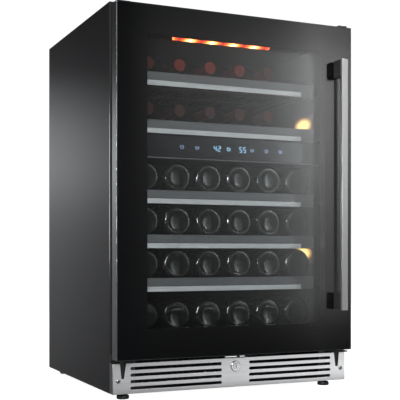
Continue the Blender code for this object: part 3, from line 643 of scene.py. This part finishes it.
def make_kick_plate(looks):
    low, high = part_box("kick_plate")
    plate = flat_plate("kick", [kick_outline(low, high), *kick_holes(low)], low.y, low.y + SHEET)
    finished("kick_panel", plate, looks["steel_x"], "cabinet", ["kick_plate"])
    for side, name in ((-1, "left"), (1, "right")):
        xs = sorted((side * high.x, side * (high.x - SHEET)))
        flange = rounded((xs[0], low.y + SHEET, low.z), (xs[1], high.y, high.z), 0.0003)
        finished(f"kick_return_{name}", flange, looks["steel_x"], "cabinet")
        screw_low, screw_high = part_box(f"kick_screw_{name}")
        centre = Vector(((screw_low.x + screw_high.x) / 2, screw_low.y, (screw_low.z + screw_high.z) / 2))
        make_screw(f"kick_screw_{name}_head", centre, -1, 4.9 * MM, looks, [f"kick_screw_{name}"])


def make_screw(name, centre, facing, radius, looks, replaced=()):
    """A domed head with a cross recess, its outermost point at centre and facing -Y or +Y. The recess is two
    thin black bars set into the dome: painted shade.
    """
    profile = [(0.0, 0.0), (radius * 0.55, 0.2 * MM), (radius * 0.85, 0.8 * MM)]
    profile += [(radius, 1.8 * MM), (radius, 2.4 * MM)]
    head = lathe([(r, -facing * along) for r, along in profile], centre, "Y", 28)
    deep = centre.y - facing * 0.0006
    front = centre.y + facing * 0.00002
    # Two thin black bars set in the dome stand for the cross recess: painted shade.
    long, narrow = 0.62, 0.15
    for wide, tall in ((long, narrow), (narrow, long)):
        ys = sorted((deep, front))
        arm_low = (centre.x - wide * radius, ys[0], centre.z - tall * radius)
        arm_high = (centre.x + wide * radius, ys[1], centre.z + tall * radius)
        first = len(head.faces)
        rounded(arm_low, arm_high, 0.0, 1, head)
        head.faces.ensure_lookup_table()
        for face in head.faces[first:]:
            face.material_index = 1
    finished(name, head, [looks["screw"], looks["dark"]], "cabinet", replaced)


def make_lock(looks):
    """The lock's finishes, and a keyway whose middle is a little wider, drawn as black blocks at the
    cylinder's face: painted shade.
    """
    dress("lock_barrel", looks["plated"], 0.0004)
    dress("lock_cylinder", looks["plated"], 0.0003)
    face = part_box("lock_cylinder")[0].y
    front, back = face - 0.06 * MM, face + 0.5 * MM
    barrel_low, barrel_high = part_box("lock_barrel")
    x, z = (barrel_low.x + barrel_high.x) / 2, (barrel_low.z + barrel_high.z) / 2
    half, tall = 0.8 * MM, 3.8 * MM
    slot = rounded((x - half, front, z - tall), (x + half, back, z + tall), 0.0)
    half, tall = 1.6 * MM, 0.6 * MM
    rounded((x - half, front, z - tall), (x + half, back, z + tall), 0.0, 1, slot)
    # The keyway is a black block at the cylinder's face: painted shade for the hole.
    finished("lock_keyway", slot, looks["dark"], "lock")


def make_back_screws(looks):
    low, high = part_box("rear_panel")
    cover_low, cover_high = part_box("bay_cover")
    margin = 9 * MM
    sides = (low.x + margin, high.x - margin)
    panel_rows = (low.z + margin, high.z - margin)
    cover_rows = (cover_low.z + margin, cover_high.z - margin)
    places = [(x, z) for x in (sides[0], 0.0, sides[1]) for z in panel_rows]
    places += [(x, (low.z + high.z) / 2) for x in sides]
    places += [(x, z) for x in sides for z in cover_rows]
    for number, (x, z) in enumerate(places, start=1):
        make_screw(f"back_screw_{number}", Vector((x, high.y + 0.0004, z)), 1, 3.6 * MM, looks)


def make_inlet_pins(looks):
    low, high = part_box("power_inlet")
    middle = (low + high) / 2
    for number, (x, z) in enumerate(((-7.0, -3.0), (0.0, 3.0), (7.0, -3.0)), start=1):
        centre = (middle.x + x * MM, middle.z + z * MM)
        pin_low = (centre[0] - 2 * MM, low.y + 3.2 * MM, centre[1] - 1 * MM)
        pin_high = (centre[0] + 2 * MM, high.y - 2 * MM, centre[1] + 1 * MM)
        pin = rounded(pin_low, pin_high, 0.4 * MM)
        finished(f"inlet_pin_{number}", pin, looks["plated"], "cabinet")


def make_foot(name, looks):
    """A levelling foot: a rounded pad and a threaded stem."""
    low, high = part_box(name)
    centre = Vector(((low.x + high.x) / 2, (low.y + high.y) / 2, 0.0))
    pad = [(0.0, 0.0), (12.8, 0.0), (13.8, 1.0), (14.0, 2.0)]
    pad += [(14.0, 6.6), (13.2, 7.8), (12.0, 8.6), (5.0, 8.9)]
    profile = [(radius * MM, low.z + up * MM) for radius, up in pad]
    crest, root = 4.9 * MM, 4.3 * MM
    pitch = 1.25 * MM
    place = low.z + 9.5 * MM
    while place < high.z - pitch:
        profile += [(crest, place), (root, place + pitch / 2)]
        place += pitch
    profile += [(4.4 * MM, high.z - 0.4 * MM), (0.0, high.z)]
    foot = lathe(profile, centre, "Z", 32)
    finished(name + "_threaded", foot, looks["plastic"], name + "_body", [name])


# Inside


def make_rack(name, body, looks, replaced):
    """Round-wire rack: a thick frame with two cross bars, and thin wires from front to back."""
    low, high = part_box(replaced)
    thick, thin = 4.5 * MM, 2.6 * MM
    z = high.z - thick
    left, right = low.x + thick, high.x - thick
    front, back = low.y + thick, high.y - thick
    bars = [[(left, front, z), (right, front, z), (right, back, z), (left, back, z), (left, front, z)]]
    for share in (1 / 3, 2 / 3):
        y = front + share * (back - front)
        bars.append([(left, y, z - 2 * MM), (right, y, z - 2 * MM)])
    bar_name, wire_name = name + "_frame", name + "_wires"
    finished(bar_name, wires(bar_name, bars, thick), looks["wire"], body, [replaced])
    lines = []
    for number in range(-5, 6):
        x = number * 40 * MM
        lines.append([(x, front, high.z - thin), (x, back, high.z - thin)])
    finished(wire_name, wires(wire_name, lines, thin), looks["wire"], body)


def make_shelves(looks):
    for number in range(1, SHELVES + 1):
        body = f"shelf_{number}"
        make_rack(f"rack_{number}", body, looks, f"shelf_rack_{number}")
        low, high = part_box(f"shelf_rail_{number}")
        rail = rounded(low, high, 0.001)
        finished(f"rail_{number}", rail, looks["rail"], body, [f"shelf_rail_{number}"])
        low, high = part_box(f"shelf_trim_{number}")
        trim = rounded(low, high, 0.0006, 2)
        finished(f"trim_{number}", trim, looks["trim"], body, [f"shelf_trim_{number}"])
    make_rack("rack_low", "cabinet", looks, "bottom_rack")


def bottle_profile():
    """(radius, distance from the base) points of a plain bottle, with a dished base."""
    r = BOTTLE_RADIUS
    length = BOTTLE_LENGTH
    dish = 3.4 * MM
    shoulder = 0.6 * length
    points = []
    for number in range(8):
        share = number / 7
        points.append((r * 0.7 * share, dish * (1 - 0.6 * share**2 - 0.4 * share**4)))
    points += [(r * 0.71, 0.0), (r * 0.83, 0.0), (r * 0.84, 0.1 * MM)]
    points += [(r * 0.93, 1.8 * MM), (r * 0.98, 5.5 * MM), (r, 11 * MM), (r, shoulder)]
    for number in range(1, 9):
        turn = math.pi * number / 8
        radius = NECK_RADIUS + (r - NECK_RADIUS) * (1 + math.cos(turn)) / 2
        points.append((radius, shoulder + 0.17 * length * number / 8))
    points += [(13.8 * MM, length * 0.8), (13.5 * MM, length * 0.94)]
    points += [(15.2 * MM, length * 0.945), (15.2 * MM, length * 0.985)]
    points += [(14.2 * MM, length), (0.0, length)]
    return points


def make_bottles(name, body, looks, xs, front, z, neck_first):
    """A row of plain bottles lying along Y. Those with the neck in front lie with it a little up."""
    profile = bottle_profile()
    capsule_start = len(profile) - 7
    tilt = 0.03
    row = bmesh.new()
    for x in xs:
        turned = [(r, BOTTLE_LENGTH - along if neck_first else along) for r, along in profile]
        lathe(turned, (x, front, z), "Y", 44, row, lambda level: int(level >= capsule_start))
    if neck_first:
        for point in row.verts:
            point.co.z += tilt * (front + BOTTLE_LENGTH - point.co.y)
    finished(name, row, [looks["bottle"], looks["capsule"]], body)


def make_contents(looks):
    """The bottles that lie on the shelves."""
    for number in range(1, SHELVES + 2):
        body = f"shelf_{number}" if number <= SHELVES else "cabinet"
        rack = f"shelf_rack_{number}" if number <= SHELVES else "bottom_rack"
        low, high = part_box(rack)
        z = high.z + BOTTLE_RADIUS + 0.0003
        if number <= 2:
            xs = [81 * MM * step for step in range(-2, 3)]
            make_bottles(f"bottles_{number}", body, looks, xs, low.y + 84 * MM, z, True)
        else:
            xs = [40 * MM * step for step in range(-5, 6, 2)]
            make_bottles(f"bottles_{number}", body, looks, xs, low.y + 6 * MM, z, False)


def make_lamps():
    """The ceiling lamp's four red points, and an amber glow in each wall lamp."""
    warm = [(0.0, (1.0, 0.95, 0.65)), (0.18, (1.0, 0.72, 0.22)), (0.38, (0.9, 0.2, 0.04))]
    warm += [(0.7, (0.3, 0.03, 0.01)), (1.0, (0.1, 0.008, 0.004))]
    dress("ceiling_lamp", glowing("ceiling_glow", row_of_lights, warm, 9.0))
    amber = [(0.0, (1.0, 0.8, 0.28)), (0.5, (1.0, 0.72, 0.26))]
    amber += [(0.84, (0.4, 0.2, 0.06)), (1.0, (0.02, 0.01, 0.004))]
    for name, height in (("wall_lamp_upper", 0.4), ("wall_lamp_lower", 0.65)):
        dress(name, glowing(name + "_glow", wall_glow(name, height), amber, 2.0))


def lit(name, colour, strength):
    """A plain even glow."""
    made, tree, output = new_material(name)
    shader = node(tree, "Emission", Color=(*colour, 1.0), Strength=strength)
    tree.links.new(shader.outputs[0], output.inputs[0])
    return made


def digit(number, x, y, z):
    """The lit strokes of a seven-stroke numeral, 6 mm wide and 12 mm high."""
    half, tall, gap = 3.0 * MM, 6.0 * MM, 0.8 * MM
    strokes = {
        "top": ((-half + gap, tall), (half - gap, tall)),
        "middle": ((-half + gap, 0.0), (half - gap, 0.0)),
        "bottom": ((-half + gap, -tall), (half - gap, -tall)),
        "upper_left": ((-half, gap), (-half, tall - gap)),
        "upper_right": ((half, gap), (half, tall - gap)),
        "lower_left": ((-half, gap - tall), (-half, -gap)),
        "lower_right": ((half, gap - tall), (half, -gap)),
    }
    lit_strokes = {
        2: ("top", "upper_right", "middle", "lower_left", "bottom"),
        4: ("upper_left", "upper_right", "middle", "lower_right"),
        5: ("top", "upper_left", "middle", "lower_right", "bottom"),
    }
    return [[(x + across, y, z + up) for across, up in strokes[name]] for name in lit_strokes[number]]


def make_display(looks):
    """The touch panel: two temperatures and six plain marks on black glass, and a strip under it."""
    low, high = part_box("control_panel")
    panel = rounded(low, high, 0.0006, 2)
    finished("touch_panel", panel, looks["panel"], "cabinet", ["control_panel"])
    face = low.y - 0.0001
    middle = (low.z + high.z) / 2
    blue = lit("digit_light", (0.4, 0.72, 1.0), 2.6)
    faint = lit("mark_light", (0.5, 0.65, 1.0), 1.3)
    half_pitch = 5.2 * MM
    for name, numbers, x in (("digits_left", (4, 2), -33 * MM), ("digits_right", (5, 5), 33 * MM)):
        lines = []
        for place, number in zip((x - half_pitch, x + half_pitch), numbers):
            lines += digit(number, place, face, middle)
        finished(name, wires(name, lines, 0.0006, 1), blue, "cabinet")
    for number, x in enumerate((-122, -84, -4, 58, 96, 134), start=1):
        make_mark(number, (x * MM, middle), face, blue if number == 3 else faint)
    make_strip(looks, low)


def make_mark(number, centre, face, look):
    """An open ring with an upright stroke in it if number is odd, and a level one if it is even."""
    size = 4 * MM
    x, z = centre
    ring = arc(centre, size, 120, 420, 14)
    stroke = [(x, z), (x, z + size)] if number % 2 else [(x - size / 2, z), (x + size / 2, z)]
    points = [[(px, face, pz) for px, pz in line] for line in (ring, stroke)]
    name = f"mark_{number}"
    finished(name, wires(name, points, 0.0005, 1), look, "cabinet")


def make_strip(looks, panel_low):
    """The grey strip along the zone divider's front, just under the touch panel."""
    divider_low, divider_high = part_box("zone_divider")
    strip_low = (divider_low.x + 2 * MM, panel_low.y + 0.4 * MM, panel_low.z - 3.2 * MM)
    strip_high = (divider_high.x - 2 * MM, divider_low.y - 0.3 * MM, panel_low.z - 0.6 * MM)
    strip = rounded(strip_low, strip_high, 0.3 * MM)
    finished("divider_strip", strip, looks["rail"], "cabinet")


# Studio


def make_floor():
    """A pale floor that melts into the white behind it."""
    mesh = bmesh.new()
    bmesh.ops.create_grid(mesh, x_segments=2, y_segments=2, size=12.0)
    data = bpy.data.meshes.new("floor")
    mesh.to_mesh(data)
    mesh.free()
    made, tree, output = new_material("pale_floor")
    _, place = axes(tree)
    noise = node(tree, "TexNoise", Vector=place, Scale=4.0).outputs["Fac"]
    tint = ramp(tree, noise, [(0.3, 0.5), (0.7, 0.55)])
    shader = node(tree, "BsdfPrincipled", Base_Color=tint, Emission_Color=(1.0, 1.0, 1.0, 1.0))
    shader.inputs["Roughness"].default_value = 0.9
    shader.inputs["Specular IOR Level"].default_value = 0.0
    shader.inputs["Emission Strength"].default_value = 1.0
    tree.links.new(shader.outputs[0], output.inputs[0])
    data.materials.append(made)
    floor = bpy.data.objects.new("floor", data)
    bpy.context.scene.collection.objects.link(floor)
    floor.visible_glossy = False


def make_card(name, low, high, look):
    """A glowing card that only reflections see. It is flat along the axis where low and high agree."""
    data = bpy.data.meshes.new(name)
    low, high = Vector(low), Vector(high)
    if low.z == high.z:
        sides = [(low.x, low.y), (high.x, low.y), (high.x, high.y), (low.x, high.y)]
        corners = [(x, y, low.z) for x, y in sides]
    else:
        ends = [(low.x, low.y, low.z), (high.x, high.y, low.z)]
        corners = ends + [(x, y, high.z) for x, y, _ in reversed(ends)]
    data.from_pydata(corners, [], [(0, 1, 2, 3)])
    data.materials.append(look)
    card = bpy.data.objects.new(name, data)
    bpy.context.scene.collection.objects.link(card)
    card.visible_camera = False
    card.visible_diffuse = False
    card.visible_shadow = False


def make_front_card():
    """The large light that the door mirrors, brightest to the right of its middle and above it."""
    across = [(0.0, 0.0), (0.1, 0.0), (0.15, 0.03), (0.2, 0.055), (0.3, 0.075), (0.42, 0.11), (0.55, 0.2)]
    across += [(0.62, 0.34), (0.66, 0.42), (0.7, 0.56), (0.73, 0.46), (0.8, 0.42), (1.0, 0.2)]
    up = [(0.0, 0.0), (0.12, 0.08), (0.2, 0.33), (0.3, 0.38), (0.4, 0.5), (0.5, 0.68), (0.66, 1.0)]
    up += [(0.8, 1.0), (0.87, 0.65), (1.0, 0.2)]
    make_card("front_card", (0.5, -3.0, -0.4), (2.5, -3.0, 1.9), gradient("front_glow", across, up, 8.6))


def make_side_card():
    """The light that the left side panel mirrors, brightest to the right and just above its middle."""
    across = [(0.0, 0.08), (0.42, 0.46), (0.8, 1.0), (1.0, 1.0)]
    up = [(0.0, 0.1), (0.16, 0.19), (0.34, 0.31), (0.46, 0.48), (0.56, 1.0), (0.66, 0.75), (0.74, 0.3)]
    up += [(0.8, 0.06), (1.0, 0.0)]
    glow = gradient("side_glow", across, up, 1.12, (0.96, 0.98, 1.0))
    make_card("side_card", (-1.8, 3.0, -0.6), (-0.8, 3.0, 1.9), glow)


def make_room_cards():
    """Soft cards all round, so that every side of the cooler has something to mirror."""
    plain = [(0.0, 0.1), (0.35, 0.38), (0.7, 1.0), (1.0, 1.1)]
    flat = [(0.0, 1.0), (1.0, 1.0)]
    soft = [(0.0, 0.1), (0.3, 0.7), (0.6, 1.0), (1.0, 0.3)]
    rising = [(0.0, 0.2), (0.3, 0.35), (0.6, 0.8), (0.85, 1.0), (1.0, 0.6)]
    cards = {
        "left": ((-3.0, -1.6, -0.3), (-3.0, 1.0, 2.2), soft, rising, 1.5, (1, 2)),
        "right": ((3.0, -1.2, -0.3), (3.0, 1.8, 2.2), soft, rising, 1.5, (1, 2)),
        "fill": ((-1.7, -3.0, 0.2), (0.1, -3.0, 2.2), soft, rising, 0.45, (0, 2)),
        "back": ((-0.5, 3.4, -0.2), (2.2, 3.4, 2.2), soft, rising, 1.1, (0, 2)),
        "top": ((-1.4, 0.2, 3.0), (1.4, 3.2, 3.0), soft, soft, 1.2, (0, 1)),
        "low": ((-0.7, -0.75, 0.002), (0.9, -0.32, 0.002), plain, flat, 1.85, (0, 2)),
    }
    for name, (low, high, across, up, strength, along) in cards.items():
        glow = gradient(name + "_glow", across, up, strength, along=along)
        make_card(name + "_card", low, high, glow)


def make_handle_flag():
    """A grey card beside the handle's bar, which the pane mirrors instead of the bar itself."""
    bar_low, bar_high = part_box("handle_bar")
    y = bar_low.y + 4 * MM
    low = (bar_high.x + 7 * MM, y, bar_low.z)
    high = (bar_high.x + 17 * MM, y, bar_high.z)
    make_card("handle_flag", low, high, lit("flag_grey", WHITE, 0.6))


def make_light(name, place, target, size, power, colour=WHITE, glossy=True):
    """A soft box at place, turned to target."""
    data = bpy.data.lights.new(name, "AREA")
    data.shape = "RECTANGLE"
    data.size = size[0]
    data.size_y = size[1]
    data.energy = power
    data.color = colour
    made = bpy.data.objects.new(name, data)
    bpy.context.scene.collection.objects.link(made)
    made.location = place
    made.rotation_euler = (Vector(target) - Vector(place)).to_track_quat("-Z", "Y").to_euler()
    made.visible_glossy = glossy
    made.visible_camera = False


def make_studio_lights():
    low, high = CAD_BOX
    middle = (low + high) / 2
    make_light("key_light", (-1.7, -2.1, 2.3), middle, (1.2, 1.2), 60)
    make_light("top_right_light", (1.3, -2.0, 2.5), middle, (1.4, 0.8), 45)
    make_light("back_light", (1.2, 2.4, 1.9), middle, (1.5, 1.2), 40, glossy=False)
    make_light("shelf_light", (-0.55, -1.25, 0.55), (0.0, 0.0, 0.45), (0.16, 0.5), 13)


def make_lamp_lights():
    """Lights at the lamps inside, which help the glowing lenses to light what is near them."""
    lamp_low, lamp_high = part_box("ceiling_lamp")
    lamp = (lamp_low + lamp_high) / 2
    place = (lamp.x, lamp.y, lamp_low.z - 0.002)
    floor = (lamp.x, lamp.y + 0.05, 0.0)
    make_light("lamp_glow", place, floor, (0.2, 0.01), 0.12, (1.0, 0.22, 0.08), glossy=False)
    for number in range(LAMP_POINTS):
        x = lamp.x + (number - (LAMP_POINTS - 1) / 2) * LAMP_PITCH
        place = (x, lamp_low.y - 0.012, lamp_low.z - 0.012)
        above = (x, lamp.y + 0.02, lamp_high.z + 0.02)
        make_light(f"lamp_halo_{number}", place, above, (0.012, 0.012), 0.12, RED_GLOW, glossy=False)
    for name in ("wall_lamp_upper", "wall_lamp_lower"):
        wall_low, wall_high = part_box(name)
        centre = (wall_low + wall_high) / 2
        place = (wall_low.x - 0.001, centre.y, centre.z)
        across = (0.0, centre.y, centre.z)
        make_light(name + "_spill", place, across, (0.08, 0.03), 0.15, (1.0, 0.5, 0.15), glossy=False)


def make_world():
    """White behind the object, and a dim grey all round for what it lights and for reflections."""
    world = bpy.data.worlds.new("studio")
    bpy.context.scene.world = world
    world.use_nodes = True
    tree = world.node_tree
    tree.nodes.clear()
    seen = tree.nodes.new("ShaderNodeLightPath").outputs["Is Camera Ray"]
    grey = node(tree, "Background", Color=(1.0, 1.0, 1.0, 1.0), Strength=0.06).outputs[0]
    white = node(tree, "Background", Color=(1.0, 1.0, 1.0, 1.0), Strength=1.05).outputs[0]
    mixed = node(tree, "MixShader", Fac=seen)
    tree.links.new(grey, mixed.inputs[1])
    tree.links.new(white, mixed.inputs[2])
    output = tree.nodes.new("ShaderNodeOutputWorld")
    tree.links.new(mixed.outputs[0], output.inputs[0])
    bpy.context.scene.view_settings.view_transform = "Standard"


def make_camera():
    """The camera solved from the photograph, at the cooler's nominal width."""
    data = bpy.data.cameras.new("camera")
    data.lens = 81.06
    data.sensor_width = 36.0
    data.shift_y = 0.1326
    made = bpy.data.objects.new("camera", data)
    bpy.context.scene.collection.objects.link(made)
    made.location = (-0.9302, -2.0904, 0.324)
    made.rotation_euler = (math.pi / 2, 0.0, math.radians(-24.34))
    bpy.context.scene.camera = made


def main():
    make_camera()
    looks = {**metal_looks(), **painted_looks(), **glass_looks()}
    make_cabinet(looks)
    make_door(looks)
    make_shelves(looks)
    make_contents(looks)
    make_lamps()
    make_display(looks)
    make_floor()
    make_front_card()
    make_side_card()
    make_room_cards()
    make_handle_flag()
    make_studio_lights()
    make_lamp_lights()
    make_world()


main()
